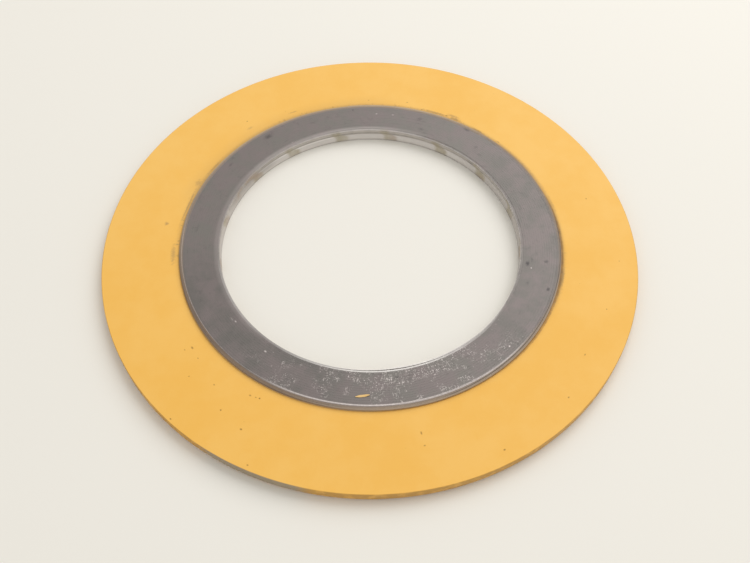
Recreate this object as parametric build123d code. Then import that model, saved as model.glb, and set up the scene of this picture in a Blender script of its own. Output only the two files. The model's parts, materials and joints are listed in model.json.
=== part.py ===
from build123d import *
import os

# Spiral wound flange gasket with an outer centering ring, lying flat.
# Z is the gasket's axis, X and Y lie in its plane, and Z = 0 is the lower sealing face.
#
# centering_ring   flat steel ring whose grooved bore holds the winding
# winding_strip    one steel strip, wound on edge: bare plies round the bore, turns that
#                  alternate with the filler, then bare plies round the rim
# graphite_filler  one ribbon of flexible graphite, wound between the turns of the strip

# Centering ring
ring_outer_diameter = 168.3
ring_thickness = 3.175
ring_edge_chamfer = 0.25

# Winding: its bore, and its radial width from the bore to the rim
winding_bore_diameter = 95.25
winding_width = 12.7

# The strip, and how many of its plies lie bare on each other round the bore and the rim
strip_height = 4.45
strip_thickness = 0.2
bore_plies = 5
rim_plies = 8

# Turns of strip between the bare plies. The real winding has about fourteen, at a finer pitch.
filled_turns = 3

# Direction of the strip's inner end, from the X axis
start_angle = -82

# How far the graphite stands above the strip's edges, on each face
filler_stand = 0.08

# The fold at mid height of the strip: a V groove in the bore, a V nose round the rim
fold_height = 2.1
fold_depth = 0.6

# Radial gap between the winding's rim and the ring's bore, above and below the nose
seat_gap = 0.2

# The graphite starts and ends bluntly, this far round from where its turn runs out
half_turn = 180
full_turn = 360
filler_end_angle = 60

# Radii from the axis, inside to outside
bore_radius = winding_bore_diameter / 2
rim_radius = bore_radius + winding_width
filled_inner_radius = bore_radius + bore_plies * strip_thickness
filled_outer_radius = rim_radius - rim_plies * strip_thickness
ring_bore_radius = rim_radius + seat_gap
ring_outer_radius = ring_outer_diameter / 2

# Heights
filler_height = strip_height + 2 * filler_stand
mid_height = filler_height / 2
strip_bottom = mid_height - strip_height / 2
ring_bottom = mid_height - ring_thickness / 2

# One turn moves the strip outwards by the pitch. The half turns on the +Y side are centred on
# the axis, those on the -Y side on a second centre, half a pitch towards +X, so that
# the arcs meet end to end as one strip. The finished winding is then turned to its start angle.
turn_pitch = (filled_outer_radius - filled_inner_radius + strip_thickness) / filled_turns
second_centre = Pos(turn_pitch / 2, 0)

# Tools that reach past the rim of the whole gasket: the two sides of the X axis
reach = ring_outer_diameter
plus_y_side = Rectangle(2 * reach, reach, align=(Align.CENTER, Align.MIN))
minus_y_side = Rectangle(2 * reach, reach, align=(Align.CENTER, Align.MAX))


def annulus(inner_radius, outer_radius):
    return Circle(outer_radius) - Circle(inner_radius)


def strip_edge(outer_radius):
    """One round of the strip, seen from above, that ends at a radius."""
    return annulus(outer_radius - strip_thickness, outer_radius)


def strip_turns_plan():
    """The strip's turns between the bare plies, seen from above."""
    turns = Sketch()
    for turn in range(filled_turns):
        outer_radius = filled_inner_radius + turn * turn_pitch
        turns += strip_edge(outer_radius) & plus_y_side
        turns += (second_centre * strip_edge(outer_radius + turn_pitch / 2)) & minus_y_side
    return turns


def wedge(start_angle, end_angle):
    """A wide triangle between two directions from the axis."""
    start = Vector(reach, 0).rotate(Axis.Z, start_angle)
    end = Vector(reach, 0).rotate(Axis.Z, end_angle)
    return Polygon((0, 0), (start.X, start.Y), (end.X, end.Y), align=None)


def filler_plan():
    """The spiral of graphite, seen from above."""
    zone = annulus(filled_inner_radius, filled_outer_radius)
    first_wall = second_centre * Circle(filled_inner_radius - strip_thickness + turn_pitch / 2)
    last_wall = second_centre * Circle(filled_outer_radius + strip_thickness - turn_pitch / 2)
    before_start = first_wall & wedge(half_turn, half_turn + filler_end_angle)
    after_end = wedge(full_turn - filler_end_angle, full_turn) - last_wall
    return zone - strip_turns_plan() - before_start - after_end


def folded_band(base_radius, back_radius):
    """A ring at the height of the fold, from a back radius to a V that starts at its base."""
    section = Polygon(
        (back_radius, mid_height - fold_height / 2),
        (base_radius, mid_height - fold_height / 2),
        (base_radius + fold_depth, mid_height),
        (base_radius, mid_height + fold_height / 2),
        (back_radius, mid_height + fold_height / 2),
        align=None,
    )
    return revolve(Plane.XZ * section, Axis.Z)


def make_centering_ring():
    """The ring's groove takes the winding's nose, flank on flank."""
    body = Pos(0, 0, ring_bottom) * extrude(
        annulus(ring_bore_radius, ring_outer_radius), ring_thickness
    )
    outer_edges = body.edges().filter_by(GeomType.CIRCLE).group_by(SortBy.RADIUS)[-1]
    body = chamfer(outer_edges, ring_edge_chamfer)
    return body - folded_band(rim_radius, bore_radius)


def make_winding_strip(filler):
    """Steel everywhere between bore and rim that isn't filler, with the fold at both walls."""
    plan = annulus(bore_radius, rim_radius) - filler
    strip = Pos(0, 0, strip_bottom) * extrude(plan, strip_height)
    groove = folded_band(bore_radius, bore_radius - fold_depth)
    nose = folded_band(rim_radius, rim_radius - strip_thickness)
    return strip - groove + nose


def make_graphite_filler(filler):
    return extrude(filler, filler_height)


filler = filler_plan()
turned = Rot(0, 0, start_angle)
nodes = {
    "centering_ring": make_centering_ring(),
    "winding_strip": turned * make_winding_strip(filler),
    "graphite_filler": turned * make_graphite_filler(filler),
}

os.makedirs("parts", exist_ok=True)
for name, shape in nodes.items():
    export_step(shape, f"parts/{name}.step")
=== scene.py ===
"""Looks of a spiral wound flange gasket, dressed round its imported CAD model.

The winding is built as the real one is: one folded strip that winds from the bore to the rim
without a break, and one ribbon of graphite wound between its turns. Sizes are in metres, in
the CAD model's frame. Patterns in the materials are measured in millimetres. In the comments
right is +X, left is -X, far is +Y and near is -Y.
"""

import json
import math
import random

import bmesh
import bpy
from bpy.props import FloatProperty, FloatVectorProperty, IntProperty, PointerProperty
from mathutils import Matrix, Vector


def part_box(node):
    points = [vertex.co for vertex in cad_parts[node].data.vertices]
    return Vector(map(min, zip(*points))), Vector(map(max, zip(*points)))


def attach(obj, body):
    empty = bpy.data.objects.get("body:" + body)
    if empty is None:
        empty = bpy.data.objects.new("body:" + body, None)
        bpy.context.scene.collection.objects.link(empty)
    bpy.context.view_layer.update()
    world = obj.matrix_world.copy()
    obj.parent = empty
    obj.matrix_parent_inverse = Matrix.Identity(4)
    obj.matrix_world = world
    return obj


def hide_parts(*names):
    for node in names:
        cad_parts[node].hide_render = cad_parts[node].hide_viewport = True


bl_info = {
    "name": "Spiral Wound Gasket",
    "version": (1, 0, 0),
    "blender": (4, 5, 0),
    "location": "View3D > Sidebar > Gasket",
    "description": "Adds a used spiral wound gasket with a painted centering ring",
    "category": "Add Mesh",
}

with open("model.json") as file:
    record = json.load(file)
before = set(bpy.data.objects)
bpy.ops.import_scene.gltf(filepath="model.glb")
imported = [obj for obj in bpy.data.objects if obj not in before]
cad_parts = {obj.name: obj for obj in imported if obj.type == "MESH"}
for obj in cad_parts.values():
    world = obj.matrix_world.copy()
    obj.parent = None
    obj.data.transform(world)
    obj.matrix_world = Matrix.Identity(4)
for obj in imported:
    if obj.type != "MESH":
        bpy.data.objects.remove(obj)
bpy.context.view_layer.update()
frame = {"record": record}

MM = 0.001
RING_LOW, RING_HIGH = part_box("centering_ring")
STRIP_LOW, STRIP_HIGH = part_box("winding_strip")
FILLER_LOW, FILLER_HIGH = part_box("graphite_filler")
MOUNTS = {mount["name"]: mount for mount in frame["record"]["mounts"]}
BORE_RADIUS = MOUNTS["bore"]["dims"]["r_mm"] * MM
RING_RADIUS = MOUNTS["ring_rim"]["dims"]["r_mm"] * MM
MID_HEIGHT = MOUNTS["bore"]["pos_m"][2]

HALF_TURN = math.pi
FULL_TURN = 2 * math.pi
AXIS = (0, 0, 1)
MIDDLE = (0, 0, MID_HEIGHT)
SHARP_ANGLE = math.radians(32)
MERGE_DISTANCE = 1e-6
SAME_PLACE = 1e-5

# directions of the spot welds in degrees: they were set by hand, so the spacing is uneven
WELDS = (
    (17, 39.6, 60.4, 83, 103.6, 125.2, 144.9, 170.5, 191.5)
    + (212.5, 234, 255.5, 275, 297, 317.5, 337.5, 357.5)
)


# ---------------------------------------------------------------- marks of wear and dirt

# each mark: its direction in degrees, its radius, length and width in millimetres, its strength

# graphite rubbed onto the paint
ENAMEL_SMEARS = (
    (68, 61.7, 13, 1.3, 0.5),
    (61, 61.7, 6, 1.8, 0.6),
    (52, 61.2, 6, 1.2, 0.6),
    (62, 62.7, 6, 1.8, 0.45),
    (150, 61.2, 9, 0.9, 0.4),
    (44, 61.7, 1.6, 0.7, 0.7),
    (92, 61, 3, 0.7, 0.5),
    (116, 63.6, 5, 0.7, 0.35),
    (131, 65, 3, 1.4, 0.25),
    (158, 62.2, 4, 2.8, 0.3),
    (168, 61.2, 18, 0.9, 0.45),
    (175, 66, 2, 1.6, 0.5),
    (186, 62.2, 10, 2, 0.4),
    (-14, 61.3, 9, 1.1, 0.5),
    (14, 61.6, 10, 1.1, 0.2),
)

# loose crumbs of dirt on the paint
ENAMEL_CRUMBS = (
    (-118, 74.5, 1, 0.7, 1),
    (-131, 83.2, 0.9, 0.6, 1),
    (-113, 82.6, 0.8, 0.6, 0.9),
    (-142, 65.4, 1.4, 0.8, 0.9),
    (-121, 64.8, 1, 0.7, 0.8),
    (-119.5, 64.5, 0.7, 0.5, 0.8),
    (-138.5, 66, 0.7, 0.5, 0.7),
    (-142.6, 67.5, 0.8, 0.5, 0.7),
    (-130, 68.2, 0.8, 0.6, 0.7),
    (-78, 68.2, 0.7, 1.4, 0.9),
    (-78, 71.9, 0.8, 0.6, 0.8),
    (-63, 80.2, 0.9, 0.7, 1),
    (-45, 78.9, 0.9, 0.6, 0.9),
    (-34, 75.2, 1, 0.6, 0.8),
    (13.5, 73.4, 0.8, 0.6, 0.8),
    (130, 68.4, 0.7, 0.6, 0.9),
    (64.2, 61.9, 1.1, 0.7, 1),
    (72.8, 61.6, 0.9, 0.5, 0.8),
    (78.2, 63.8, 0.9, 0.5, 0.8),
    (90.8, 63.5, 0.8, 0.5, 0.7),
    (103, 61.4, 0.9, 0.6, 0.8),
)

# dark blots on the graphite
GRAPHITE_BLOTS = (
    (129, 56.9, 4.4, 2.6, 0.65),
    (147, 56.7, 3, 1.2, 0.4),
    (55, 58.7, 3.2, 1.6, 0.7),
    (47.5, 53.7, 1.6, 2.2, 0.35),
    (96.5, 57.9, 0.8, 1.6, 0.6),
    (72, 56, 2.8, 2.2, 0.4),
    (70, 51.3, 2.2, 2, 0.35),
    (-11.6, 50, 2.8, 2, 1),
    (-20, 57.7, 2.2, 1.3, 0.9),
    (-9.6, 55.7, 1.7, 1.9, 0.7),
    (-19.8, 51.3, 1.4, 1.2, 0.4),
    (-150, 52, 1.6, 5, 0.25),
    (-130, 54.6, 3, 2, 0.3),
    (-38, 56.8, 3, 1.2, 0.35),
    (-81, 50.5, 2.6, 1.3, 0.5),
    (-68, 51.5, 5, 3, 0.35),
    (-100, 54.8, 6, 3, 0.25),
)

# places where the graphite is thickly scuffed
SCUFF_CROWDS = (
    (-118.6, 51.6, 2, 2, 0.8),
    (-113, 50.2, 1.6, 1.2, 0.7),
    (-104.5, 48.8, 2, 1, 0.7),
    (-100.5, 51.6, 3, 2.4, 1),
    (-97, 55, 2.4, 2.4, 0.8),
    (-94.5, 50.8, 4.5, 2.4, 1),
    (-84, 50.9, 5, 2.6, 1),
    (-79.5, 52.3, 2.6, 1.4, 1),
    (-83.3, 54, 1.4, 3, 0.7),
    (-73.8, 52.2, 3, 1.4, 0.9),
    (-68.8, 51.4, 3.6, 2.6, 1),
    (-69, 57.2, 3, 1.6, 0.8),
    (-59.8, 53.9, 2.2, 1.8, 0.9),
    (-49, 54.7, 2.6, 1.6, 0.7),
    (122, 49.6, 5, 1.4, 0.5),
)

# scuffs that lie alone
LONE_SCUFFS = (
    (-141.4, 50.8, 1, 0.6, 0.8),
    (-143, 51.2, 2, 0.5, 0.25),
    (-125.8, 51.5, 1.1, 0.7, 0.8),
    (-44.4, 56.8, 0.7, 0.7, 0.9),
    (-13.2, 51.3, 0.6, 0.6, 0.8),
    (88, 55.8, 0.9, 0.6, 0.6),
    (82, 55.8, 1.2, 0.5, 0.5),
)


# ---------------------------------------------------------------- settings


def length(name, description, millimetres):
    """A setting in metres, from millimetres."""
    return FloatProperty(
        name=name, description=description, default=millimetres * MM, unit="LENGTH"
    )


def bearing(name, description, radians):
    """A setting for an angle."""
    return FloatProperty(name=name, description=description, default=radians, subtype="ANGLE")


def count(name, description, number, least=0):
    """A setting for a whole number."""
    return IntProperty(name=name, description=description, default=number, min=least)


def colour(name, description, *linear):
    """A setting for a colour, as linear red, green and blue."""
    return FloatVectorProperty(
        name=name, description=description, subtype="COLOR", default=linear
    )


def position(name, description, *metres):
    """A setting for a place, as x, y and z."""
    return FloatVectorProperty(
        name=name, description=description, subtype="TRANSLATION", default=metres, unit="LENGTH"
    )


class RingSettings(bpy.types.PropertyGroup):
    """Sizes and colours of the centering ring."""

    segments: count("Segments", "Sides of the ring's circles", 720, 64)
    edge_rounding: length("Edge rounding", "Rounding of the outer edges", 0.25)
    bore_rounding: length("Bore rounding", "Rounding of the edges at the winding", 0.05)
    dirt_height: length("Dirt height", "Height of the dirt at the winding", 0.22)
    dirt_reach: length("Dirt reach", "How far the dirt lies on the enamel", 0.14)
    paint: colour("Paint", "Main colour of the enamel", 0.95, 0.56, 0.14)
    # this colour is also the painted shade that deepens the near side
    deep_paint: colour("Deep paint", "Enamel where the coat is thicker", 0.92, 0.51, 0.1)
    # this colour is also the painted shade on the ring's side wall
    stain: colour("Stain", "Brown dirt on the enamel's edges", 0.3, 0.16, 0.055)
    smear: colour("Smear", "Graphite rubbed on the enamel", 0.24, 0.17, 0.1)
    speck: colour("Speck", "Loose crumbs of dirt on the enamel", 0.24, 0.12, 0.02)
    bare_edge: colour("Bare edge", "Steel where the edge lost its paint", 0.33, 0.29, 0.22)
    flake: colour("Flake", "Sliver of dry paint on the graphite", 0.78, 0.54, 0.25)


class WindingSettings(bpy.types.PropertyGroup):
    """Sizes and colours of the strip and its filler."""

    width: length("Width", "Width of the winding, from bore to rim", 12.7)
    strip_thickness: length("Strip thickness", "Thickness of the steel strip", 0.2)
    ply_gap: length("Ply gap", "Air between bare rounds of strip", 0.012)
    bore_plies: count("Bore plies", "Bare rounds of strip at the bore", 5)
    rim_plies: count("Rim plies", "Bare rounds of strip at the rim", 8)
    filled_turns: count("Filled turns", "Rounds of graphite between the strip's", 14, 1)
    fold_height: length("Fold height", "Height of the V fold along the strip", 2.1)
    fold_depth: length("Fold depth", "Bulge of the V fold away from the bore", 0.6)
    strip_corner: length("Strip corner", "Rounding of the strip's edges", 0.018)
    filler_lip: length("Filler lip", "Graphite pressed out over the strip's edges", 0.096)
    filler_corner: length("Filler corner", "Rounding of the pressed graphite", 0.016)
    unevenness: length("Unevenness", "Most that a round stands high", 0.02)
    spring: length("Spring", "Distance that the strip's free end stands off", 0.3)
    spring_length: length("Spring length", "Length of strip that springs off", 40)
    start_angle: bearing("Start angle", "Where the strip's inner end is", math.radians(-82))
    steps: count("Steps", "Mesh steps in each half turn", 80, 24)
    steel: colour("Steel", "Strip that was wiped or rubbed clean", 0.62, 0.575, 0.535)
    # this colour is also the painted reflected light and highlights on the bore wall
    clean_steel_and_highlight: colour("Wiped steel", "Strip below the fold's edge", 0.86, 0.82, 0.78)
    # this colour is also the painted shade on the far left's upper flank
    dull_steel: colour("Dull steel", "Strip with a film of dirt", 0.42, 0.385, 0.355)
    rim_stain: colour("Rim stain", "Dirt on the bare rounds at the rim", 0.29, 0.215, 0.155)
    rim_dust: colour("Rim dust", "Pale dust on the outermost rounds", 0.54, 0.41, 0.26)
    rust: colour("Rust", "Rusty dirt at the winding's rim", 0.19, 0.12, 0.07)
    weld_tint: colour("Weld tint", "Steel coloured by a spot weld's heat", 0.4, 0.345, 0.22)
    weld_brown: colour("Weld brown", "Browner steel at some spot welds", 0.42, 0.32, 0.24)
    graphite: colour("Graphite", "Pressed graphite", 0.215, 0.18, 0.171)
    olive_graphite: colour("Olive graphite", "Graphite with an oily film", 0.196, 0.18, 0.162)
    # this colour is also the painted shade in the fold's crease and on the graphite's near left
    dark_graphite: colour("Dark graphite", "Graphite in hollows", 0.07, 0.062, 0.06)
    fleck: colour("Fleck", "Bright scuffs on the graphite", 0.68, 0.61, 0.58)


class WeldSettings(bpy.types.PropertyGroup):
    """Sizes of the spot welds that hold the bore's plies."""

    width: length("Width", "Mean width of a coloured patch", 3.7)
    flare: length("Flare", "How much wider the lower patch is than the upper", 1.4)
    stagger: length("Stagger", "Shift between a weld's upper and lower spot", 2.2)
    button: length("Button", "Width of the dent in each spot", 1.1)
    stand: length("Stand", "Height of the lip round a dent", 0.03)


class FlakeSettings(bpy.types.PropertyGroup):
    """Size and place of the sliver of loose paint."""

    long: length("Length", "Length of the sliver", 4)
    wide: length("Width", "Width of the sliver at its middle", 0.68)
    thick: length("Thickness", "Thickness of the paint", 0.09)
    skew: length("Skew", "How far each tip is to one side", 0.26)
    radius: length("Radius", "Distance of the sliver from the axis", 56)
    direction: bearing("Direction", "Where the sliver lies", math.radians(-92))
    turn: bearing("Turn", "Turn of the sliver in the winding's plane", math.radians(7))


class StageSettings(bpy.types.PropertyGroup):
    """Floor, lamps and camera."""

    floor: colour("Floor", "Colour of the floor", 0.88, 0.85, 0.78)
    floor_size: length("Floor size", "Side of the floor", 6000)
    sky: colour("Sky", "Colour of the light from all round", 1, 0.99, 0.97)
    sky_strength: FloatProperty(
        name="Sky strength", description="Strength of the light from all round", default=0.66
    )
    key_place: position("Key place", "Where the large soft lamp is", 0.47, 0.56, 0.82)
    key_power: FloatProperty(
        name="Key power", description="Power of the large soft lamp, in watts", default=6.6
    )
    key_size: length("Key size", "Side of the large soft lamp", 1000)
    camera_place: position(
        "Camera place", "Where the camera is, above the ring's top", 0.0005, -0.15878, 0.20528
    )
    yaw: bearing("Yaw", "How far the camera looks to the right", 0.007)
    pitch: bearing("Pitch", "How far the camera looks down", 0.965)
    roll: bearing("Roll", "How far the camera leans over", 0.01)
    lens: FloatProperty(name="Lens", description="Focal length in millimetres", default=39.02)


# ---------------------------------------------------------------- mesh tools


def begin_piece():
    """Object mode, with nothing selected."""
    if bpy.context.mode != "OBJECT":
        bpy.ops.object.mode_set(mode="OBJECT")
    bpy.ops.object.select_all(action="DESELECT")


def open_mesh(piece, name):
    """Names a fresh primitive, puts its place in its mesh and opens it in edit mode."""
    piece.name = name
    piece.data.name = name
    bpy.ops.object.transform_apply(location=True, rotation=True, scale=True)
    bpy.ops.object.mode_set(mode="EDIT")


def pick(piece, kind, wanted):
    """In edit mode, selects only the vertices, edges or faces that pass a test."""
    modes = {"verts": "VERT", "edges": "EDGE", "faces": "FACE"}
    bpy.ops.mesh.select_mode(type=modes[kind])
    bpy.ops.mesh.select_all(action="DESELECT")
    mesh = bmesh.from_edit_mesh(piece.data)
    chosen = [element for element in getattr(mesh, kind) if wanted(element)]
    if not chosen:
        raise RuntimeError(f"{piece.name}: no {kind} to shape")
    for element in chosen:
        element.select_set(True)
    mesh.select_flush_mode()
    bmesh.update_edit_mesh(piece.data)


def flat_radius(vertex, centre_x=0):
    """Distance of a vertex from the upright line through a point of the X axis."""
    return math.hypot(vertex.co.x - centre_x, vertex.co.y)


def height_from_middle(vertex):
    """Height of a vertex above the gasket's mid plane."""
    return vertex.co.z - MID_HEIGHT


def on_face(vertex, height):
    """Whether a vertex is at the top or the bottom of a shape of this height."""
    return abs(abs(height_from_middle(vertex)) - height / 2) < SAME_PLACE


def cut_bands(piece, height, fold_half, on_wall=lambda vertex: True):
    """Cuts a wall into four bands, the middle two as high as the fold, and picks its middle."""

    def near(level):
        return lambda v: on_wall(v) and abs(height_from_middle(v) - level) < height / 16

    pick(
        piece,
        "edges",
        lambda edge: all(map(on_wall, edge.verts))
        and abs(edge.verts[0].co.z - edge.verts[1].co.z) > height / 2,
    )
    bpy.ops.mesh.subdivide(number_cuts=3)
    for side in (-1, 1):
        pick(piece, "verts", near(side * height / 4))
        bpy.ops.transform.translate(value=(0, 0, side * (fold_half - height / 4)))
    pick(piece, "verts", near(0))


def copy_piece(piece):
    """A copy of a piece with a mesh of its own, selected in object mode."""
    begin_piece()
    piece.select_set(True)
    bpy.context.view_layer.objects.active = piece
    bpy.ops.object.duplicate(linked=False)
    return bpy.context.object


def join_copies(pattern, copies, name):
    """Joins the copies of a pattern to one piece, open in edit mode, and drops the pattern."""
    begin_piece()
    bpy.data.objects.remove(pattern)
    for copy in copies:
        copy.select_set(True)
    piece = copies[0]
    bpy.context.view_layer.objects.active = piece
    bpy.ops.object.join()
    piece.name = name
    piece.data.name = name
    bpy.ops.object.mode_set(mode="EDIT")
    return piece


def clean_mesh():
    """In edit mode, merges doubles and turns every face outwards."""
    bpy.ops.mesh.select_mode(type="VERT")
    bpy.ops.mesh.select_all(action="SELECT")
    bpy.ops.mesh.remove_doubles(threshold=MERGE_DISTANCE)
    bpy.ops.mesh.normals_make_consistent(inside=False)


def finish_piece(piece, material, slot, *nodes):
    """Leaves edit mode, shades the piece and ties it to the frame."""
    clean_mesh()
    bpy.ops.object.mode_set(mode="OBJECT")
    bpy.ops.object.shade_smooth_by_angle(angle=SHARP_ANGLE)
    # flat faces shade flat between their small roundings
    shading = piece.modifiers.new("flat_faces", "WEIGHTED_NORMAL")
    shading.keep_sharp = True
    bpy.ops.object.modifier_apply(modifier=shading.name)
    piece.data.materials.clear()
    piece.data.materials.append(material)
    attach(piece, "root")
    if nodes:
        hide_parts(*nodes)


# ---------------------------------------------------------------- materials


class Number:
    """A value that varies over a surface. Arithmetic on it adds Math nodes."""

    def __init__(self, finish, output):
        self.finish = finish
        self.output = output

    def maths(self, operation, *values):
        """A new value from a Math node."""
        return self.finish.node(
            "ShaderNodeMath", {"operation": operation}, dict(enumerate(values))
        )

    def __add__(self, other):
        return self.maths("ADD", self, other)

    def __radd__(self, other):
        return self.maths("ADD", other, self)

    def __sub__(self, other):
        return self.maths("SUBTRACT", self, other)

    def __rsub__(self, other):
        return self.maths("SUBTRACT", other, self)

    def __mul__(self, other):
        return self.maths("MULTIPLY", self, other)

    def __rmul__(self, other):
        return self.maths("MULTIPLY", other, self)

    def larger(self, other):
        return self.maths("MAXIMUM", self, other)

    def smaller(self, other):
        return self.maths("MINIMUM", self, other)

    def size(self):
        return self.maths("ABSOLUTE", self)


class Finish:
    """A material, built node by node on its Principled shader. Places are in millimetres."""

    def __init__(self, name):
        self.material = bpy.data.materials.new(name)
        self.material.use_nodes = True
        self.tree = self.material.node_tree
        self.shader = self.tree.nodes["Principled BSDF"]
        metres = self.node("ShaderNodeTexCoord", {}, {}, "Object")
        self.place = self.node(
            "ShaderNodeMapping", {}, {"Vector": metres, "Scale": (1 / MM,) * 3}
        )
        parts = self.tree.nodes.new("ShaderNodeSeparateXYZ")
        self.tree.links.new(self.place.output, parts.inputs[0])
        self.x, self.y, self.z = (Number(self, parts.outputs[i]) for i in range(3))
        flat = self.vector("MULTIPLY", self.place, (1, 1, 0))
        self.radius = self.vector("LENGTH", flat, output="Value")
        self.direction = self.vector("NORMALIZE", flat)
        self.angle = self.x.maths("ARCTAN2", self.y, self.x)
        self.height = (self.z - MID_HEIGHT / MM).size()
        self.ragged = self.noise(1.3, 4, 0.7) - 0.5
        self.gritty = self.noise(4.5, 3, 0.7) - 0.5

    def node(self, kind, settings, inputs, output=0):
        """Adds a node. Its settings are set first, then the values or links of its sockets."""
        node = self.tree.nodes.new(kind)
        for key, value in settings.items():
            setattr(node, key, value)
        for key, value in inputs.items():
            if isinstance(value, Number):
                self.tree.links.new(value.output, node.inputs[key])
            else:
                node.inputs[key].default_value = value
        return Number(self, node.outputs[output])

    def vector(self, operation, first, second=(0, 0, 0), output=0):
        """The result of a Vector Math node."""
        return self.node(
            "ShaderNodeVectorMath", {"operation": operation}, {0: first, 1: second}, output
        )

    def round_place(self, along, across):
        """A place for patterns that run round the axis, with a frequency each way."""
        turned = self.node(
            "ShaderNodeVectorMath",
            {"operation": "SCALE"},
            {0: self.direction, "Scale": along},
        )
        stretched = (self.radius + self.z) * across
        lift = self.node("ShaderNodeCombineXYZ", {}, {"Z": stretched})
        return self.vector("ADD", turned, lift)

    def noise(self, scale, detail=3, roughness=0.5, place=None):
        """Cloudy noise from about 0 to 1, with a scale in waves per millimetre."""
        inputs = {
            "Vector": place or self.place,
            "Scale": scale,
            "Detail": detail,
            "Roughness": roughness,
        }
        return self.node("ShaderNodeTexNoise", {}, inputs)

    def ease(self, value, low, high):
        """0 below low, 1 above high and smooth between. Turns round if low is the larger."""
        ends = (low, high, 0, 1) if low < high else (high, low, 1, 0)
        inputs = {"Value": value}
        inputs.update(zip(("From Min", "From Max", "To Min", "To Max"), ends))
        return self.node("ShaderNodeMapRange", {"interpolation_type": "SMOOTHSTEP"}, inputs)

    def mix(self, share, first, second):
        """From the first colour to the second by a share."""
        colours = [c if isinstance(c, Number) else (*c, 1) for c in (first, second)]
        return self.node(
            "ShaderNodeMix",
            {"data_type": "RGBA"},
            {0: share, 6: colours[0], 7: colours[1]},
            2,
        )

    def specks(self, spacing, size, share):
        """Small dots, one in a share of the cells of a pattern with this spacing."""
        cells = self.tree.nodes.new("ShaderNodeTexVoronoi")
        self.tree.links.new(self.place.output, cells.inputs["Vector"])
        cells.inputs["Scale"].default_value = 1 / spacing
        distance = Number(self, cells.outputs["Distance"])
        chance = self.node(
            "ShaderNodeSeparateColor", {}, {0: Number(self, cells.outputs["Color"])}
        )
        reach = size / spacing
        picked = self.ease(chance, 1 - share, 1 - share * 0.7)
        return self.ease(distance + self.gritty * (reach * 2.4), reach, reach * 0.4) * picked

    def turn_from(self, angle, middle):
        """How far an angle is from a direction in degrees, the shorter way round."""
        away = angle - math.radians(middle)
        return away.maths("WRAP", away, HALF_TURN, -HALF_TURN).size()

    def arc(self, middle, reach, soft):
        """1 within a reach of a direction, in degrees, and 0 past a soft margin."""
        away = self.turn_from(self.angle, middle)
        return self.ease(away, math.radians(reach + soft), math.radians(reach))

    def radius_about(self, x, y):
        """Distance from an upright line through a point, in millimetres."""
        flat = self.vector("MULTIPLY", self.place, (1, 1, 0))
        return self.vector("DISTANCE", flat, (x, y, 0), "Value")

    def line(self, distance, width):
        """1 where a distance is about 0, and 0 past half a width."""
        return self.ease(distance.size(), width / 2, width / 6)

    def marks(self, height, places, rough=0.8):
        """Soft ragged marks: angle in degrees, radius, length, width and strength of each."""
        total = None
        for angle, radius, long, wide, strength in places:
            turn = math.radians(angle)
            local = self.node(
                "ShaderNodeMapping",
                {"vector_type": "TEXTURE"},
                {
                    "Vector": self.place,
                    "Location": (radius * math.cos(turn), radius * math.sin(turn), height),
                    "Rotation": (0, 0, turn + HALF_TURN / 2),
                    "Scale": (long / 2, wide / 2, 1),
                },
            )
            distance = self.vector("LENGTH", local, output="Value")
            mark = self.ease(distance + self.ragged * (2 * rough), 1.1, 0.1) * strength
            total = mark if total is None else total.larger(mark)
        return total

    def bump(self, height, distance, strength):
        """Relief from a height, in metres at its full value."""
        return self.node(
            "ShaderNodeBump",
            {},
            {"Strength": strength, "Distance": distance, "Height": height},
            "Normal",
        )

    def set(self, **inputs):
        """Feeds the shader's sockets. Words in a name are joined by underscores."""
        for name, value in inputs.items():
            socket = self.shader.inputs[name.replace("_", " ")]
            if isinstance(value, Number):
                self.tree.links.new(value.output, socket)
            else:
                socket.default_value = value
        return self.material


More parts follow.
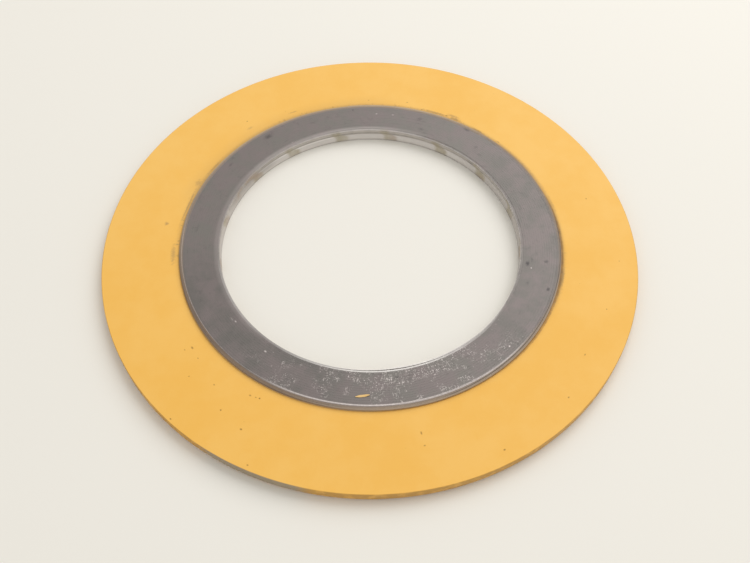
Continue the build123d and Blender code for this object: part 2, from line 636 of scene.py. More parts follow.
def enamel_finish(ring, plan):
    """Warm yellow enamel with dirt at the winding, graphite smears and a worn edge."""
    paint = Finish("ring_enamel")
    top = RING_HIGH.z / MM
    seat = plan.ring_bore_radius / MM
    rim = RING_RADIUS / MM
    cloud = paint.ease(paint.noise(0.05, 6, 0.7), 0.35, 0.65)
    # the near side is deeper in colour, painted shade; the cloud is a thicker coat at random
    near = paint.ease(paint.y, 45, -55)
    skin = paint.mix(cloud * 0.6 + near * 0.4, ring.paint, ring.deep_paint)
    # brown dirt in a narrow broken line where the ring meets the winding, wider at the sides
    flank = paint.ease((paint.y + 14).size(), 46, 20) * paint.ease(paint.x, -110, 10)
    broken = paint.noise(0.5, 3)
    reach = paint.radius - flank * 0.55 - paint.ragged * 0.7
    grime = paint.ease(reach, seat + 0.35, seat - 0.15) * (0.3 + broken)
    skin = paint.mix(grime * (0.2 + flank * 0.6), skin, ring.stain)
    muddy = paint.ease(reach, seat + 0.8, seat - 0.1) * (0.2 + broken)
    muddy = muddy * (paint.arc(-2, 14, 12) + paint.arc(93, 8, 8) * 0.6)
    skin = paint.mix(muddy * 0.8, skin, ring.speck)
    far = paint.ease(paint.y, -20, 30) * 0.24 + paint.arc(54, 20, 16) * 0.3
    far = far + paint.arc(8, 26, 14) * 0.2
    film = paint.ease(paint.radius + paint.ragged, seat + 2, seat) * (0.1 + far)
    film = film + paint.ease(paint.radius + cloud, seat + 7, seat) * paint.arc(124, 32, 16) * 0.16
    skin = paint.mix(film, skin, ring.smear)
    # streaks of graphite wiped outwards from the winding on the far side
    wiped = paint.noise(1, 4, 0.65, paint.round_place(55, 0.35))
    wiped = paint.ease(wiped, 0.52, 0.72) * paint.ease(paint.radius, seat + 2.4, seat + 0.2)
    wiped = wiped * (paint.arc(92, 30, 12) + paint.arc(172, 14, 6) + paint.arc(-14, 8, 5))
    # graphite rubbed onto the paint in patches
    smears = paint.marks(top, ENAMEL_SMEARS)
    skin = paint.mix(smears.larger(wiped * 0.6), skin, ring.smear)
    # loose crumbs, more of them on the near side
    dust = paint.specks(3.4, 0.3, 0.12) + paint.specks(9, 0.45, 0.14)
    crumbs = paint.marks(top, ENAMEL_CRUMBS, 0.3)
    skin = paint.mix((dust * (0.2 + near * 0.8)).larger(crumbs) * 0.8, skin, ring.speck)
    # the turned-down edge is browner, partly painted shade and partly worn patches, and bare for a
    # short way on the near left
    side = paint.ease(paint.radius, rim - 0.3, rim - 0.04)
    worn = side * paint.ease(paint.noise(0.4, 4) + side * 0.2, 0.45, 0.75)
    skin = paint.mix(side * 0.25 + worn * 0.3, skin, ring.stain)
    bare = side * paint.arc(-112, 8, 4)
    skin = paint.mix(bare * 0.85, skin, ring.bare_edge)
    relief = paint.noise(0.7, 2) + paint.noise(0.08, 2) * 3
    return paint.set(
        Base_Color=skin,
        Roughness=0.5 + cloud * 0.06 + smears * 0.15,
        Specular_IOR_Level=0.25,
        Normal=paint.bump(relief, 0.03 * MM, 0.35),
    )


def flake_finish(ring):
    """Dry pale paint that broke off the ring."""
    flake = Finish("flake_enamel")
    skin = flake.mix(flake.noise(1.2, 3) * 0.5, ring.flake, ring.paint)
    return flake.set(
        Base_Color=skin,
        Roughness=0.6 + flake.ragged * 0.2,
        Specular_IOR_Level=0.25,
        Normal=flake.bump(flake.noise(2, 2), 0.05 * MM, 0.4),
    )


def dirt_finish(ring, winding):
    """Rusty dirt and paint dust, packed where the ring meets the winding."""
    dirt = Finish("joint_dirt")
    lumps = dirt.noise(1.1, 4, 0.7)
    skin = dirt.mix(dirt.ease(lumps, 0.35, 0.6), winding.rust, ring.stain)
    seat = WindingPlan(winding).ring_bore_radius / MM
    dusty = dirt.ease(dirt.radius + dirt.ragged * 0.2, seat - 0.05, seat + 0.15)
    dusty = dusty * (1 - dirt.arc(-14, 34, 18) * 0.6)
    skin = dirt.mix(0.1 + dusty * (0.25 + lumps * 0.4), skin, ring.deep_paint)
    skin = dirt.mix(dirt.arc(-120, 22, 16) * 0.55, skin, winding.rim_dust)
    return dirt.set(
        Base_Color=skin,
        Roughness=0.75,
        Specular_IOR_Level=0.2,
        Normal=dirt.bump(lumps, 0.05 * MM, 0.5),
    )


def graphite_colour(finish, winding):
    """The mottled grey of pressed graphite, shared with the smears on the strip."""
    patches = finish.ease(finish.noise(0.14, 5, 0.65), 0.36, 0.64)
    shade = finish.mix(patches, winding.graphite, winding.olive_graphite)
    streaks = finish.noise(1, 4, 0.6, finish.round_place(9, 1.6))
    hollows = finish.ease(finish.noise(0.4, 5, 0.7) + streaks * 0.5, 0.78, 1.1)
    shade = finish.mix(hollows * 0.4, shade, winding.dark_graphite)
    blots = finish.marks(FILLER_HIGH.z / MM, GRAPHITE_BLOTS)
    # painted shade on the near left and a little on the near side, and darker patches on the right
    oily = finish.arc(-135, 22, 26) * (0.1 + patches * 0.22) + finish.arc(-72, 26, 18) * 0.07
    oily = oily + finish.arc(-5, 36, 20) * patches * 0.16
    shade = finish.mix(blots.larger(oily), shade, winding.dark_graphite)
    # paler towards the bore, most of all on the far side
    back = finish.arc(148, 72, 15) + finish.arc(114, 24, 18)
    paler = finish.ease(finish.radius, 50, 48.5) * back
    return finish.mix(paler * 0.15, shade, winding.fleck)


def rubbed_round(finish):
    """The round where the graphite ends, rubbed bright on the near side."""
    away = finish.radius_about(0, 0.7) - 59.55
    bright = finish.line(away, 0.66) * finish.arc(-80, 30, 18) * (0.8 + finish.ragged)
    faint = finish.line(away, 0.3) * finish.arc(-145, 34, 12) * (0.35 + finish.ragged)
    return bright.larger(faint)


def fleck_mask(graphite):
    """Bright scuffs, thick on the near side of the winding and rare elsewhere."""
    top = FILLER_HIGH.z / MM
    crowds = graphite.marks(top, SCUFF_CROWDS, 0.4)
    near = graphite.arc(-84, 30, 22)
    inner = graphite.arc(-79, 15, 12) * graphite.ease(graphite.radius, 56, 51)
    thick = graphite.ease(graphite.noise(0.2, 3) + inner * 0.1, 0.46, 0.6)
    dots = graphite.specks(0.7, 0.2, 0.26) + graphite.specks(1.5, 0.36, 0.25) * 0.8
    dashes = graphite.noise(2.6, 3, 0.6, graphite.round_place(20, 1.8))
    strokes = graphite.noise(2.6, 3, 0.6, graphite.round_place(80, 0.35))
    scratched = graphite.ease(dashes.larger(strokes) + crowds * 0.03, 0.59, 0.68)
    lone = graphite.specks(2.3, 0.3, 0.28) * near
    crowded = (thick * near * 0.75).larger(crowds)
    fine = graphite.specks(0.55, 0.2, 0.7) * crowds
    dense = (dots.larger(scratched).larger(fine) * crowded).larger(lone * 0.7)
    stray = graphite.specks(11, 0.4, 0.2) * 0.5
    lone_scuffs = graphite.marks(top, LONE_SCUFFS, 0.5)
    return (dense * (0.85 + graphite.gritty)).larger(stray).larger(lone_scuffs)


def weld_heat(steel, weld):
    """The patches coloured by spot welds, each lower patch wider and shifted from its upper."""
    middle = MID_HEIGHT / MM
    tilt = steel.ease(steel.z, middle - 0.7, middle + 0.7) - 0.5
    along = steel.angle - tilt * (weld.stagger / BORE_RADIUS)
    away = steel.turn_from(along, WELDS[0])
    for direction in WELDS[1:]:
        away = away.smaller(steel.turn_from(along, direction))
    past = away * (BORE_RADIUS / MM) + tilt * (weld.flare / MM / 2) + steel.ragged * 0.9
    half = weld.width / MM / 2
    heat = steel.ease(past, half + 0.8, half - 0.8)
    on_end = steel.ease(steel.height, 2.18, 2.21) * (1 - steel.arc(98, 58, 16) * 0.8)
    return heat * steel.ease(steel.radius, 48.9, 48.3) * (1 - on_end)


def steel_finish(winding, weld, plan):
    """Strip that is bright at the bore, sooty between the turns and stained at the rim."""
    steel = Finish("wound_steel")
    half = (STRIP_HIGH.z - STRIP_LOW.z) / 2 / MM
    bore = BORE_RADIUS / MM
    rim = plan.rim_radius / MM
    middle = MID_HEIGHT / MM
    fold = winding.fold_height / 2 / MM
    lines = steel.noise(1, 4, 0.6, steel.round_place(6, 7))
    clouds = steel.ease(steel.noise(0.25, 4, 0.6), 0.3, 0.7)
    base = steel.mix(lines * 0.5 + clouds * 0.4, winding.steel, winding.dull_steel)
    # painted shade in the crease under the fold's upper edge, with one dark smudge, and painted
    # reflected light on the face below it
    crease_shade = steel.line(steel.z - (middle + fold - 0.15), 0.9) * (0.6 + steel.ragged)
    crease_shade = crease_shade * (1 - steel.arc(60, 5, 9) * 0.55)
    smudge = steel.arc(44.4, 0.8, 1.6) * steel.line(steel.z - (middle + 0.9), 2.2)
    base = steel.mix((crease_shade * 0.6).larger(smudge * 0.4), base, winding.dark_graphite)
    # painted reflected light: the face below the fold is paler, most of all on the far side
    wiped = steel.ease(steel.z, middle + 0.2, middle - 0.2) * (
        steel.arc(92, 36, 24) * 0.35 + clouds * 0.2 + 0.05
    )
    # a painted highlight along the fold's lower flank at the far left
    fold_highlight = steel.line(steel.z - (middle - 0.15), 0.7) * steel.arc(124, 16, 10)
    # painted light lifting the foot of the wall on the right and far side
    foot_light = steel.ease(steel.z, 1.1, 0.3) * steel.arc(52, 58, 16) * 0.6
    base = steel.mix(wiped.larger(fold_highlight).larger(foot_light), base, winding.clean_steel_and_highlight)
    # a dull stretch of the upper flank at the far left: painted shade, with a brown patch in it
    upper = steel.ease(steel.z, middle - 1.6, middle - 0.4)
    base = steel.mix(steel.arc(148, 10, 9) * (0.1 + upper * 0.5), base, winding.dull_steel)
    grimy = steel.ease(steel.noise(0.3, 3), 0.4, 0.6) * steel.arc(152, 5, 6) * upper
    base = steel.mix(grimy * 0.65, base, winding.weld_brown)
    # graphite smeared over the strip's edges, to the bore itself on the right, thin at the back
    edge = steel.ease(steel.height, half - 0.5, half - 0.2)
    graphite = graphite_colour(steel, winding)
    far = steel.arc(110, 20, 28)
    from_bore = steel.radius + steel.ragged * 0.6 + steel.arc(2, 32, 16) * 0.8 - far * 0.7
    inside = steel.ease(from_bore, bore + 0.8, bore + 1.05)
    film = steel.ease(steel.radius + steel.ragged * 0.7, bore - 0.7, bore + 0.8)
    base = steel.mix(film * edge * (0.95 - far * 0.24), base, graphite)
    # the bore's ply edges are paler on the near side: rubbed clean steel, with a painted highlight
    # along the bore's edge
    rubbed_edges_and_highlight = steel.arc(-85, 0, 58) * (0.85 + steel.ragged) + steel.arc(-150, 7, 16) * 0.22
    lip = steel.line(steel.radius - (bore + 0.06), 0.4) * steel.arc(-80, 30, 25) * 0.4
    rubbed_edges_and_highlight = rubbed_edges_and_highlight.larger(lip) * steel.ease(steel.radius, bore + 1.25, bore + 0.9)
    base = steel.mix(rubbed_edges_and_highlight * edge, base, winding.clean_steel_and_highlight)
    browner = steel.ease(steel.noise(0.09, 1), 0.42, 0.58)
    tint = steel.mix(browner, winding.weld_tint, winding.weld_brown)
    tint = steel.mix(edge * 0.6, tint, graphite)
    base = steel.mix(weld_heat(steel, weld) * (0.4 + clouds * 0.35), base, tint)
    # towards the rim the graphite thins out, later on the right
    edge_of_soot = steel.radius - steel.arc(8, 26, 22) * 0.5 + steel.ragged * 0.4
    outside = steel.ease(edge_of_soot, 59.45, 58.85)
    sooty = inside * outside * edge
    rim_side = steel.ease(steel.radius, plan.filled_outer / MM - 0.2, plan.filled_outer / MM)
    dust = steel.ease(steel.radius + steel.ragged * 0.5, rim - 1.3, rim + 0.1)
    amount = 0.35 + steel.arc(108, 28, 36) * 0.65 - steel.arc(15, 24, 16) * 0.3
    dust = dust * amount * edge + (1 - edge)
    stain = steel.mix(dust, winding.rim_stain, winding.rim_dust)
    stain = steel.mix(steel.arc(-138, 20, 25) * (0.3 + edge * 0.4), stain, winding.rust)
    base = steel.mix(rim_side * (0.9 + steel.ragged * 0.3), base, stain)
    base = steel.mix(sooty * 0.95, base, steel.mix(0.1, graphite, winding.fleck))
    # dark dirt between two rounds
    gap = steel.line(steel.radius_about(-1.37, 1.37) - 61.53, 0.26) * steel.arc(-25, 40, 8)
    # thin lines where the near left's outer rounds part
    rounds = steel.noise(1, 2, 0.5, steel.round_place(2, 2.6))
    parted = steel.ease(rounds, 0.5, 0.62) * steel.arc(-140, 40, 15) * rim_side * 0.5
    base = steel.mix(gap.larger(parted) * edge * 0.9, base, winding.dark_graphite)
    bright = rubbed_round(steel) * edge
    base = steel.mix(bright, base, winding.fleck)
    relief = lines + steel.noise(2.5, 3) * 0.6
    return steel.set(
        Base_Color=base,
        Metallic=0.35 * (1 - rim_side * 0.6),
        Roughness=0.38 + clouds * 0.12 + rim_side * 0.12,
        Normal=steel.bump(relief, 0.02 * MM, 0.4),
    )


def graphite_finish(winding):
    """Pressed graphite: smooth and grey, scuffed on the near side."""
    graphite = Finish("pressed_graphite")
    shade = graphite_colour(graphite, winding)
    flecks = fleck_mask(graphite).larger(rubbed_round(graphite))
    shade = graphite.mix(flecks, shade, winding.fleck)
    fine = graphite.noise(3, 4, 0.6)
    waves = graphite.noise(1, 3, 0.5, graphite.round_place(14, 1.4))
    return graphite.set(
        Base_Color=shade,
        Roughness=0.4 + fine * 0.14 - flecks * 0.1,
        Metallic=0.35 + flecks * 0.1,
        Normal=graphite.bump(fine + waves, 0.03 * MM, 0.4),
    )


def floor_finish(stage):
    """A plain pale table top."""
    floor = Finish("floor")
    paler = tuple(min(1, 1.02 * channel) for channel in stage.floor)
    shade = floor.mix(floor.noise(0.004, 3), stage.floor, paler)
    return floor.set(Base_Color=shade, Roughness=0.75, Specular_IOR_Level=0.2)


# ---------------------------------------------------------------- pieces


class WindingPlan:
    """Radii of the winding, from the bore outwards, on its +X side before it is turned."""

    # air between the winding's rim and the ring's bore
    seat_gap = 0.04 * MM

    def __init__(self, winding):
        self.thickness = winding.strip_thickness
        self.rim_radius = BORE_RADIUS + winding.width
        self.ring_bore_radius = self.rim_radius + self.seat_gap
        self.fold_depth = winding.fold_depth
        self.groove_half = winding.fold_height / 2 * (1 - self.seat_gap / winding.fold_depth)
        self.filled_inner = BORE_RADIUS + winding.bore_plies * self.thickness
        self.filled_outer = self.rim_radius - winding.rim_plies * self.thickness
        width = self.filled_outer - self.filled_inner
        self.pitch = (width + self.thickness) / winding.filled_turns
        self.last_ply = self.filled_inner - self.thickness
        starts = [BORE_RADIUS + ply * self.thickness for ply in range(winding.bore_plies)]
        starts += [self.last_ply + turn * self.pitch for turn in range(1, winding.filled_turns)]
        starts += [self.filled_outer + ply * self.thickness for ply in range(winding.rim_plies)]
        self.turn_starts = starts

    def bore_wall_radius(self, turn):
        """Radius of the innermost round at a turn from the strip's free end."""
        turn = turn % FULL_TURN
        if turn < HALF_TURN:
            return BORE_RADIUS
        return BORE_RADIUS + self.thickness / 2 * (1 + math.cos(turn))


class GASKET_OT_ring(bpy.types.Operator):
    """Adds the flat centering ring with its grooved bore"""

    bl_idname = "gasket.ring"
    bl_label = "Centering Ring"
    bl_options = {"REGISTER", "UNDO"}

    def execute(self, context):
        ring = context.scene.gasket_ring
        plan = WindingPlan(context.scene.gasket_winding)
        thickness = RING_HIGH.z - RING_LOW.z
        begin_piece()
        bpy.ops.mesh.primitive_cylinder_add(
            vertices=ring.segments, radius=RING_RADIUS, depth=thickness, location=MIDDLE
        )
        piece = context.object
        open_mesh(piece, "painted_centering_ring")
        pick(piece, "faces", lambda face: abs(face.normal.z) > 0.5)
        bpy.ops.mesh.inset(thickness=RING_RADIUS - plan.ring_bore_radius)
        bpy.ops.mesh.bridge_edge_loops()
        self.fold_groove(piece, plan, thickness)
        self.round_edges(piece, plan, thickness, ring)
        finish_piece(piece, enamel_finish(ring, plan), "ring_paint", "centering_ring")
        return {"FINISHED"}

    def fold_groove(self, piece, plan, thickness):
        """Draws the middle line of the bore's wall outwards, to a V groove."""
        halfway = (RING_RADIUS + plan.ring_bore_radius) / 2
        cut_bands(piece, thickness, plan.groove_half, lambda v: flat_radius(v) < halfway)
        widening = (plan.rim_radius + plan.fold_depth) / plan.ring_bore_radius
        bpy.ops.transform.resize(value=(widening, widening, 1), center_override=MIDDLE)

    def round_edges(self, piece, plan, thickness, ring):
        """Rounds the four edges where the flat faces meet the rim and the bore."""
        roundings = (
            (RING_RADIUS, ring.edge_rounding),
            (plan.ring_bore_radius, ring.bore_rounding),
        )
        for radius, rounding in roundings:

            def at_corner(vertex):
                return abs(flat_radius(vertex) - radius) < SAME_PLACE and on_face(vertex, thickness)

            pick(piece, "edges", lambda edge: all(map(at_corner, edge.verts)))
            bpy.ops.mesh.bevel(offset=rounding, segments=4, affect="EDGES")


def add_section(name, thickness, height, winding):
    """A folded cross section at the axis, in the XZ plane, as one face."""
    begin_piece()
    centre = (thickness / 2, 0, MID_HEIGHT)
    bpy.ops.mesh.primitive_plane_add(size=1, location=centre, rotation=(HALF_TURN / 2, 0, 0))
    section = bpy.context.object
    open_mesh(section, name)
    bpy.ops.transform.resize(value=(thickness, 1, height), center_override=centre)
    cut_bands(section, height, winding.fold_height / 2)
    bpy.ops.transform.translate(value=(winding.fold_depth, 0, 0))
    return section


def pick_ends(section, height):
    """Selects the top and bottom edge of a section."""
    pick(section, "edges", lambda edge: all(on_face(v, height) for v in edge.verts))


def round_ends(section, height, corner):
    """Rounds the corners of a section's top and bottom edge."""
    pick_ends(section, height)
    bpy.ops.mesh.bevel(offset=corner, segments=3, affect="VERTICES")


def close_section():
    """Leaves only the outline of the section in edit mode and goes back to object mode."""
    bpy.ops.mesh.select_mode(type="FACE")
    bpy.ops.mesh.select_all(action="SELECT")
    bpy.ops.mesh.dissolve_faces()
    bpy.ops.mesh.delete(type="ONLY_FACE")
    bpy.ops.object.mode_set(mode="OBJECT")


def copy_section(section, inner_radius):
    """A copy of a section moved out to a radius, open in edit mode and selected."""
    copy = copy_piece(section)
    bpy.ops.object.mode_set(mode="EDIT")
    bpy.ops.mesh.select_all(action="SELECT")
    bpy.ops.transform.translate(value=(inner_radius, 0, 0))
    return copy


def spin_half(steps, centre_x, angle=HALF_TURN):
    """Spins the selection round an upright line. With no window, spin turns the other way."""
    bpy.ops.mesh.spin(steps=steps, angle=-angle, center=(centre_x, 0, 0), axis=AXIS)


def wind(section, inner_radius, drift, steps, lift):
    """One round: a half turn on the axis, and one that drifts outwards by a pitch."""
    turn = copy_section(section, inner_radius)
    spin_half(steps, 0)
    if drift:
        spin_half(steps, drift / 2)
    # the far side of the round stands a little high
    pick(turn, "verts", lambda v: v.co.x < 0 and abs(v.co.y) < SAME_PLACE)
    bpy.ops.transform.translate(
        value=(0, 0, lift),
        use_proportional_edit=True,
        proportional_edit_falloff="SMOOTH",
        proportional_size=1.6 * inner_radius,
    )
    bpy.ops.object.mode_set(mode="OBJECT")
    return turn


def join_rounds(section, turns, start_angle):
    """Joins the rounds to one piece, closes its ends and turns it to its start angle."""
    piece = join_copies(section, turns, section.name)
    clean_mesh()
    pick(piece, "edges", lambda edge: edge.is_boundary)
    bpy.ops.mesh.fill_holes(sides=0)
    bpy.ops.mesh.select_all(action="SELECT")
    bpy.ops.transform.rotate(value=-start_angle, orient_axis="Z", center_override=(0, 0, 0))
    return piece


class GASKET_OT_strip(bpy.types.Operator):
    """Adds the folded steel strip, wound from the bore to the rim"""

    bl_idname = "gasket.strip"
    bl_label = "Winding Strip"
    bl_options = {"REGISTER", "UNDO"}

    def execute(self, context):
        winding = context.scene.gasket_winding
        weld = context.scene.gasket_weld
        plan = WindingPlan(winding)
        height = STRIP_HIGH.z - STRIP_LOW.z
        thickness = winding.strip_thickness - winding.ply_gap
        section = add_section("wound_strip", thickness, height, winding)
        round_ends(section, height, winding.strip_corner)
        close_section()
        dice = random.Random(4)
        starts = plan.turn_starts
        turns = []
        for start, following in zip(starts, starts[1:] + [None]):
            drift = following - start if following else 0
            lift = dice.random() * winding.unevenness
            turns.append(wind(section, start, drift, winding.steps, lift))
        piece = join_rounds(section, turns, winding.start_angle)
        self.spring_end(piece, winding)
        material = steel_finish(winding, weld, plan)
        finish_piece(piece, material, "strip_steel", "winding_strip")
        return {"FINISHED"}

    def spring_end(self, piece, winding):
        """The strip's inner end stands off the next ply, towards the bore."""
        start = Vector((math.cos(winding.start_angle), math.sin(winding.start_angle), 0))
        end = start * (BORE_RADIUS + winding.strip_thickness / 2)

        def at_end(vertex):
            reach = winding.strip_thickness * 0.55
            if abs(height_from_middle(vertex)) < winding.fold_height / 2 - SAME_PLACE:
                reach += winding.fold_depth
            flat = Vector((vertex.co.x, vertex.co.y, 0))
            sideways = abs(flat.x * start.y - flat.y * start.x)
            return sideways < SAME_PLACE and (flat - end).length < reach

        pick(piece, "verts", at_end)
        bpy.ops.transform.translate(
            value=start * -winding.spring,
            use_proportional_edit=True,
            use_proportional_connected=True,
            proportional_edit_falloff="SHARP",
            proportional_size=winding.spring_length,
        )


class GASKET_OT_filler(bpy.types.Operator):
    """Adds the ribbon of graphite between the turns of the strip"""

    bl_idname = "gasket.filler"
    bl_label = "Graphite Filler"
    bl_options = {"REGISTER", "UNDO"}

    def execute(self, context):
        winding = context.scene.gasket_winding
        plan = WindingPlan(winding)
        width = plan.pitch - plan.thickness
        height = FILLER_HIGH.z - FILLER_LOW.z
        section = self.add_lipped_section(winding, width, height)
        dice = random.Random(7)
        turns = []
        for turn in range(winding.filled_turns):
            start = plan.filled_inner + turn * plan.pitch
            drift = plan.pitch if turn < winding.filled_turns - 1 else 0
            lift = dice.random() * winding.unevenness
            turns.append(wind(section, start, drift, winding.steps, lift))
        turns += self.add_wedges(section, winding, plan, width)
        piece = join_rounds(section, turns, winding.start_angle)
        finish_piece(piece, graphite_finish(winding), "graphite", "graphite_filler")
        return {"FINISHED"}

    def add_lipped_section(self, winding, width, height):
        """The ribbon's section, pressed out over the strip's edges at its top and bottom."""
        body = STRIP_HIGH.z - STRIP_LOW.z
        section = add_section("pressed_filler", width, body, winding)
        spread = (width + 2 * winding.filler_lip) / width
        centre = (width / 2, 0, MID_HEIGHT)
        pick_ends(section, body)
        bpy.ops.mesh.extrude_edges_move()
        tall = (body + winding.strip_corner) / body
        bpy.ops.transform.resize(value=(spread, 1, tall), center_override=centre)
        bpy.ops.mesh.extrude_edges_move()
        tall = height / (body + winding.strip_corner)
        bpy.ops.transform.resize(value=(1, 1, tall), center_override=centre)
        round_ends(section, height, winding.filler_corner)
        close_section()
        return section

    def add_wedges(self, section, winding, plan, width):
        """The ribbon's two ends, where the strip's rounds part and where they close up."""
        narrow = plan.thickness / 2
        wide = plan.pitch / 2
        # the first starts thin on the -X side and is as wide as the ribbon on the +X side
        first = self.wedge(
            section, winding, plan.filled_inner, -HALF_TURN, narrow, wide, plan.last_ply + wide
        )
        # the last is as wide as the ribbon on the -X side and thin on the +X side
        last_start = plan.filled_outer - width
        last = self.wedge(
            section, winding, last_start, HALF_TURN, wide, narrow, plan.filled_outer + narrow
        )
        return [first, last]

    def wedge(
        self, section, winding, inner_radius, angle, inner_centre, outer_centre, outer_radius
    ):
        """A half turn whose outer wall has a centre and a radius of its own."""
        end = copy_section(section, inner_radius)
        width = max(v.co.x for v in section.data.vertices) - winding.fold_depth
        if angle > 0:
            bpy.ops.transform.rotate(value=HALF_TURN, orient_axis="Z", center_override=(0, 0, 0))
        spin_half(winding.steps, inner_centre, angle)
        wall = inner_radius + abs(inner_centre) * (1 if angle > 0 else -1)

        def fold_bulge(vertex):
            share = 1 - abs(height_from_middle(vertex)) / (winding.fold_height / 2)
            return max(0, share) * winding.fold_depth

        pick(
            end,
            "verts",
            lambda v: flat_radius(v, inner_centre) - fold_bulge(v) > wall + width / 2,
        )
        scale = outer_radius / (wall + width)
        centre = (inner_centre, 0, MID_HEIGHT)
        bpy.ops.transform.resize(value=(scale, scale, 1), center_override=centre)
        bpy.ops.transform.translate(value=(outer_centre - inner_centre, 0, 0))
        bpy.ops.object.mode_set(mode="OBJECT")
        return end


class GASKET_OT_welds(bpy.types.Operator):
    """Adds the dented buttons of the spot welds round the bore"""

    bl_idname = "gasket.welds"
    bl_label = "Spot Welds"
    bl_options = {"REGISTER", "UNDO"}

    def execute(self, context):
        winding = context.scene.gasket_winding
        weld = context.scene.gasket_weld
        plan = WindingPlan(winding)
        leg = (STRIP_HIGH.z - STRIP_LOW.z) / 2 - winding.fold_height / 2
        spot_height = winding.fold_height / 2 + leg / 2
        button = self.add_button(weld)
        copies = []
        for middle in WELDS:
            for side in (-1, 1):
                direction = math.radians(middle) + side * weld.stagger / 2 / BORE_RADIUS
                radius = plan.bore_wall_radius(direction - winding.start_angle)
                copies.append(self.place_copy(button, radius, direction, side * spot_height))
        piece = join_copies(button, copies, "weld_buttons")
        finish_piece(piece, steel_finish(winding, weld, plan), "strip_steel")
        return {"FINISHED"}

    def add_button(self, weld):
        """A shallow disc with a raised lip and a sunk middle, facing the axis."""
        begin_piece()
        depth = 4 * weld.stand
        bpy.ops.mesh.primitive_cylinder_add(
            vertices=20,
            radius=weld.button / 2,
            depth=depth,
            location=(depth / 2 - weld.stand * 0.4, 0, 0),
            rotation=(0, -HALF_TURN / 2, 0),
        )
        button = bpy.context.object
        open_mesh(button, "weld_button")
        pick(button, "faces", lambda face: face.normal.x < -0.5)
        bpy.ops.mesh.inset(thickness=weld.button * 0.1)
        bpy.ops.transform.translate(value=(weld.stand * -0.6, 0, 0))
        bpy.ops.mesh.inset(thickness=weld.button * 0.12)
        bpy.ops.transform.translate(value=(weld.stand * 1.2, 0, 0))
        bpy.ops.object.mode_set(mode="OBJECT")
        return button

    def place_copy(self, button, radius, direction, height):
        """A copy of the button on the wall, at a radius, a direction and a height."""
        copy = copy_piece(button)
        copy.rotation_euler = (0, 0, direction)
        copy.location = (
            radius * math.cos(direction),
            radius * math.sin(direction),
            MID_HEIGHT + height,
        )
        bpy.ops.object.transform_apply(location=True, rotation=True, scale=True)
        return copy


class GASKET_OT_dirt(bpy.types.Operator):
    """Adds the dirt packed where the ring meets the winding, on both faces"""

    bl_idname = "gasket.dirt"
    bl_label = "Joint Dirt"
    bl_options = {"REGISTER", "UNDO"}

    def execute(self, context):
        ring = context.scene.gasket_ring
        winding = context.scene.gasket_winding
        plan = WindingPlan(winding)
        inner = plan.rim_radius - plan.thickness / 2
        outer = plan.ring_bore_radius + ring.dirt_reach
        begin_piece()
        bpy.ops.mesh.primitive_cone_add(
            vertices=ring.segments,
            radius1=outer + ring.dirt_reach,
            radius2=inner,
            depth=2 * ring.dirt_height,
            location=(0, 0, RING_HIGH.z),
        )
        piece = context.object
        open_mesh(piece, "joint_dirt")
        pick(piece, "faces", lambda face: abs(face.normal.z) > 0.99)
        bpy.ops.mesh.inset(thickness=plan.thickness)
        bpy.ops.mesh.bridge_edge_loops()
        # a crumbly outer edge
        pick(piece, "verts", lambda v: flat_radius(v) > outer)
        bpy.ops.transform.vertex_random(offset=ring.dirt_reach / 2, seed=3)
        bpy.ops.mesh.select_all(action="SELECT")
        bpy.ops.mesh.duplicate()
        bpy.ops.transform.mirror(constraint_axis=(False, False, True), center_override=MIDDLE)
        finish_piece(piece, dirt_finish(ring, winding), "graphite")
        return {"FINISHED"}


class GASKET_OT_flake(bpy.types.Operator):
    """Adds the sliver of loose paint that lies on the graphite"""

    bl_idname = "gasket.flake"
    bl_label = "Paint Flake"
    bl_options = {"REGISTER", "UNDO"}

    def execute(self, context):
        flake = context.scene.gasket_flake
        centre = Vector((flake.radius, 0, 0))
        centre.rotate(Matrix.Rotation(flake.direction, 3, "Z"))
        centre.z = FILLER_HIGH.z + context.scene.gasket_winding.unevenness
        begin_piece()
        bpy.ops.mesh.primitive_plane_add(size=1, location=centre, rotation=(0, 0, flake.turn))
        piece = context.object
        piece.scale = (flake.long, flake.wide, 1)
        open_mesh(piece, "paint_flake")
        bpy.ops.mesh.select_all(action="SELECT")
        bpy.ops.mesh.subdivide(number_cuts=7)
        # pointed ends, one of them curled up
        for side, narrowing, lift in ((-1, 0.25, 0.05 * MM), (1, 0.4, 0.22 * MM)):
            tip = centre + Vector((flake.long / 2, flake.skew, 0)) * side
            pick(piece, "verts", lambda v: abs(v.co.x - tip.x) < flake.long / 12)
            bpy.ops.transform.resize(
                value=(1, narrowing, 1),
                center_override=tip,
                use_proportional_edit=True,
                proportional_size=0.3 * flake.long,
            )
            bpy.ops.transform.translate(
                value=(0, 0, lift),
                use_proportional_edit=True,
                proportional_size=0.4 * flake.long,
            )
        bpy.ops.object.mode_set(mode="OBJECT")
        thickness = piece.modifiers.new("thickness", "SOLIDIFY")
        thickness.thickness = flake.thick
        thickness.offset = 1
        bpy.ops.object.modifier_apply(modifier=thickness.name)
        bpy.ops.object.mode_set(mode="EDIT")
        finish_piece(piece, flake_finish(context.scene.gasket_ring), "ring_paint")
        return {"FINISHED"}


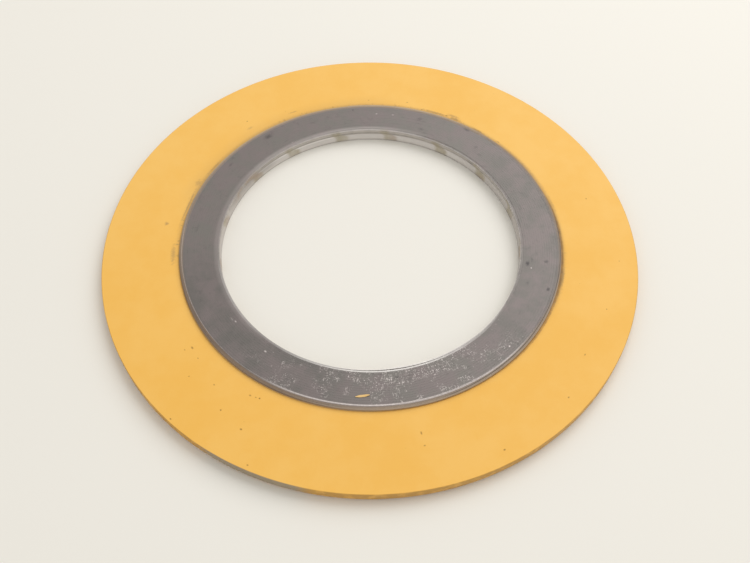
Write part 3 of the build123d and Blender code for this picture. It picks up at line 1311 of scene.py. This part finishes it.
class GASKET_OT_stage(bpy.types.Operator):
    """Adds the floor, the lamps and the camera"""

    bl_idname = "gasket.stage"
    bl_label = "Stage"
    bl_options = {"REGISTER", "UNDO"}

    def execute(self, context):
        stage = context.scene.gasket_stage
        begin_piece()
        bpy.ops.mesh.primitive_plane_add(size=stage.floor_size)
        floor = context.object
        floor.name = "floor"
        floor.data.materials.append(floor_finish(stage))
        self.add_lamps(context, stage)
        self.add_camera(context, stage)
        context.scene.view_settings.view_transform = "Standard"
        return {"FINISHED"}

    def add_lamps(self, context, stage):
        """Pale light from all round, and one large soft lamp that faces the gasket."""
        world = bpy.data.worlds.new("studio")
        world.use_nodes = True
        background = world.node_tree.nodes["Background"]
        background.inputs["Color"].default_value = (*stage.sky, 1)
        background.inputs["Strength"].default_value = stage.sky_strength
        context.scene.world = world
        bpy.ops.object.light_add(type="AREA", location=stage.key_place)
        lamp = context.object
        lamp.name = "key_lamp"
        lamp.data.size = stage.key_size
        lamp.data.energy = stage.key_power
        lamp.rotation_euler = (-stage.key_place).to_track_quat("-Z", "Y").to_euler()

    def add_camera(self, context, stage):
        """A camera above the near side that looks down at the gasket."""
        yaw, pitch, roll = stage.yaw, stage.pitch, stage.roll
        camera_place = stage.camera_place + Vector((0, 0, RING_HIGH.z))
        forward = Vector(
            (math.sin(yaw) * math.cos(pitch), math.cos(yaw) * math.cos(pitch), -math.sin(pitch))
        )
        level = Vector((math.cos(yaw), -math.sin(yaw), 0))
        lifted = level.cross(forward)
        right = level * math.cos(roll) + lifted * math.sin(roll)
        up = lifted * math.cos(roll) - level * math.sin(roll)
        bpy.ops.object.camera_add()
        camera = context.object
        camera.name = "camera"
        turned = Matrix((right, up, -forward)).transposed().to_4x4()
        camera.matrix_world = Matrix.Translation(camera_place) @ turned
        camera.data.lens = stage.lens
        camera.data.sensor_width = 36
        camera.data.clip_start = 0.01
        camera.data.clip_end = 20
        context.scene.camera = camera


class GASKET_PT_panel(bpy.types.Panel):
    """Lists the gasket's pieces in the sidebar"""

    bl_label = "Spiral Wound Gasket"
    bl_space_type = "VIEW_3D"
    bl_region_type = "UI"
    bl_category = "Gasket"

    def draw(self, context):
        for operator in OPERATORS:
            self.layout.operator(operator.bl_idname)


SETTINGS = {
    "gasket_ring": RingSettings,
    "gasket_winding": WindingSettings,
    "gasket_weld": WeldSettings,
    "gasket_flake": FlakeSettings,
    "gasket_stage": StageSettings,
}
OPERATORS = (
    GASKET_OT_ring,
    GASKET_OT_strip,
    GASKET_OT_filler,
    GASKET_OT_welds,
    GASKET_OT_dirt,
    GASKET_OT_flake,
    GASKET_OT_stage,
)
CLASSES = (*SETTINGS.values(), *OPERATORS, GASKET_PT_panel)


def register():
    for cls in CLASSES:
        bpy.utils.register_class(cls)
    for name, group in SETTINGS.items():
        setattr(bpy.types.Scene, name, PointerProperty(type=group))


def unregister():
    for name in SETTINGS:
        delattr(bpy.types.Scene, name)
    for cls in reversed(CLASSES):
        bpy.utils.unregister_class(cls)


def main():
    register()
    bpy.ops.gasket.ring()
    bpy.ops.gasket.strip()
    bpy.ops.gasket.filler()
    bpy.ops.gasket.welds()
    bpy.ops.gasket.dirt()
    bpy.ops.gasket.flake()
    bpy.ops.gasket.stage()


if __name__ == "__main__":
    main()
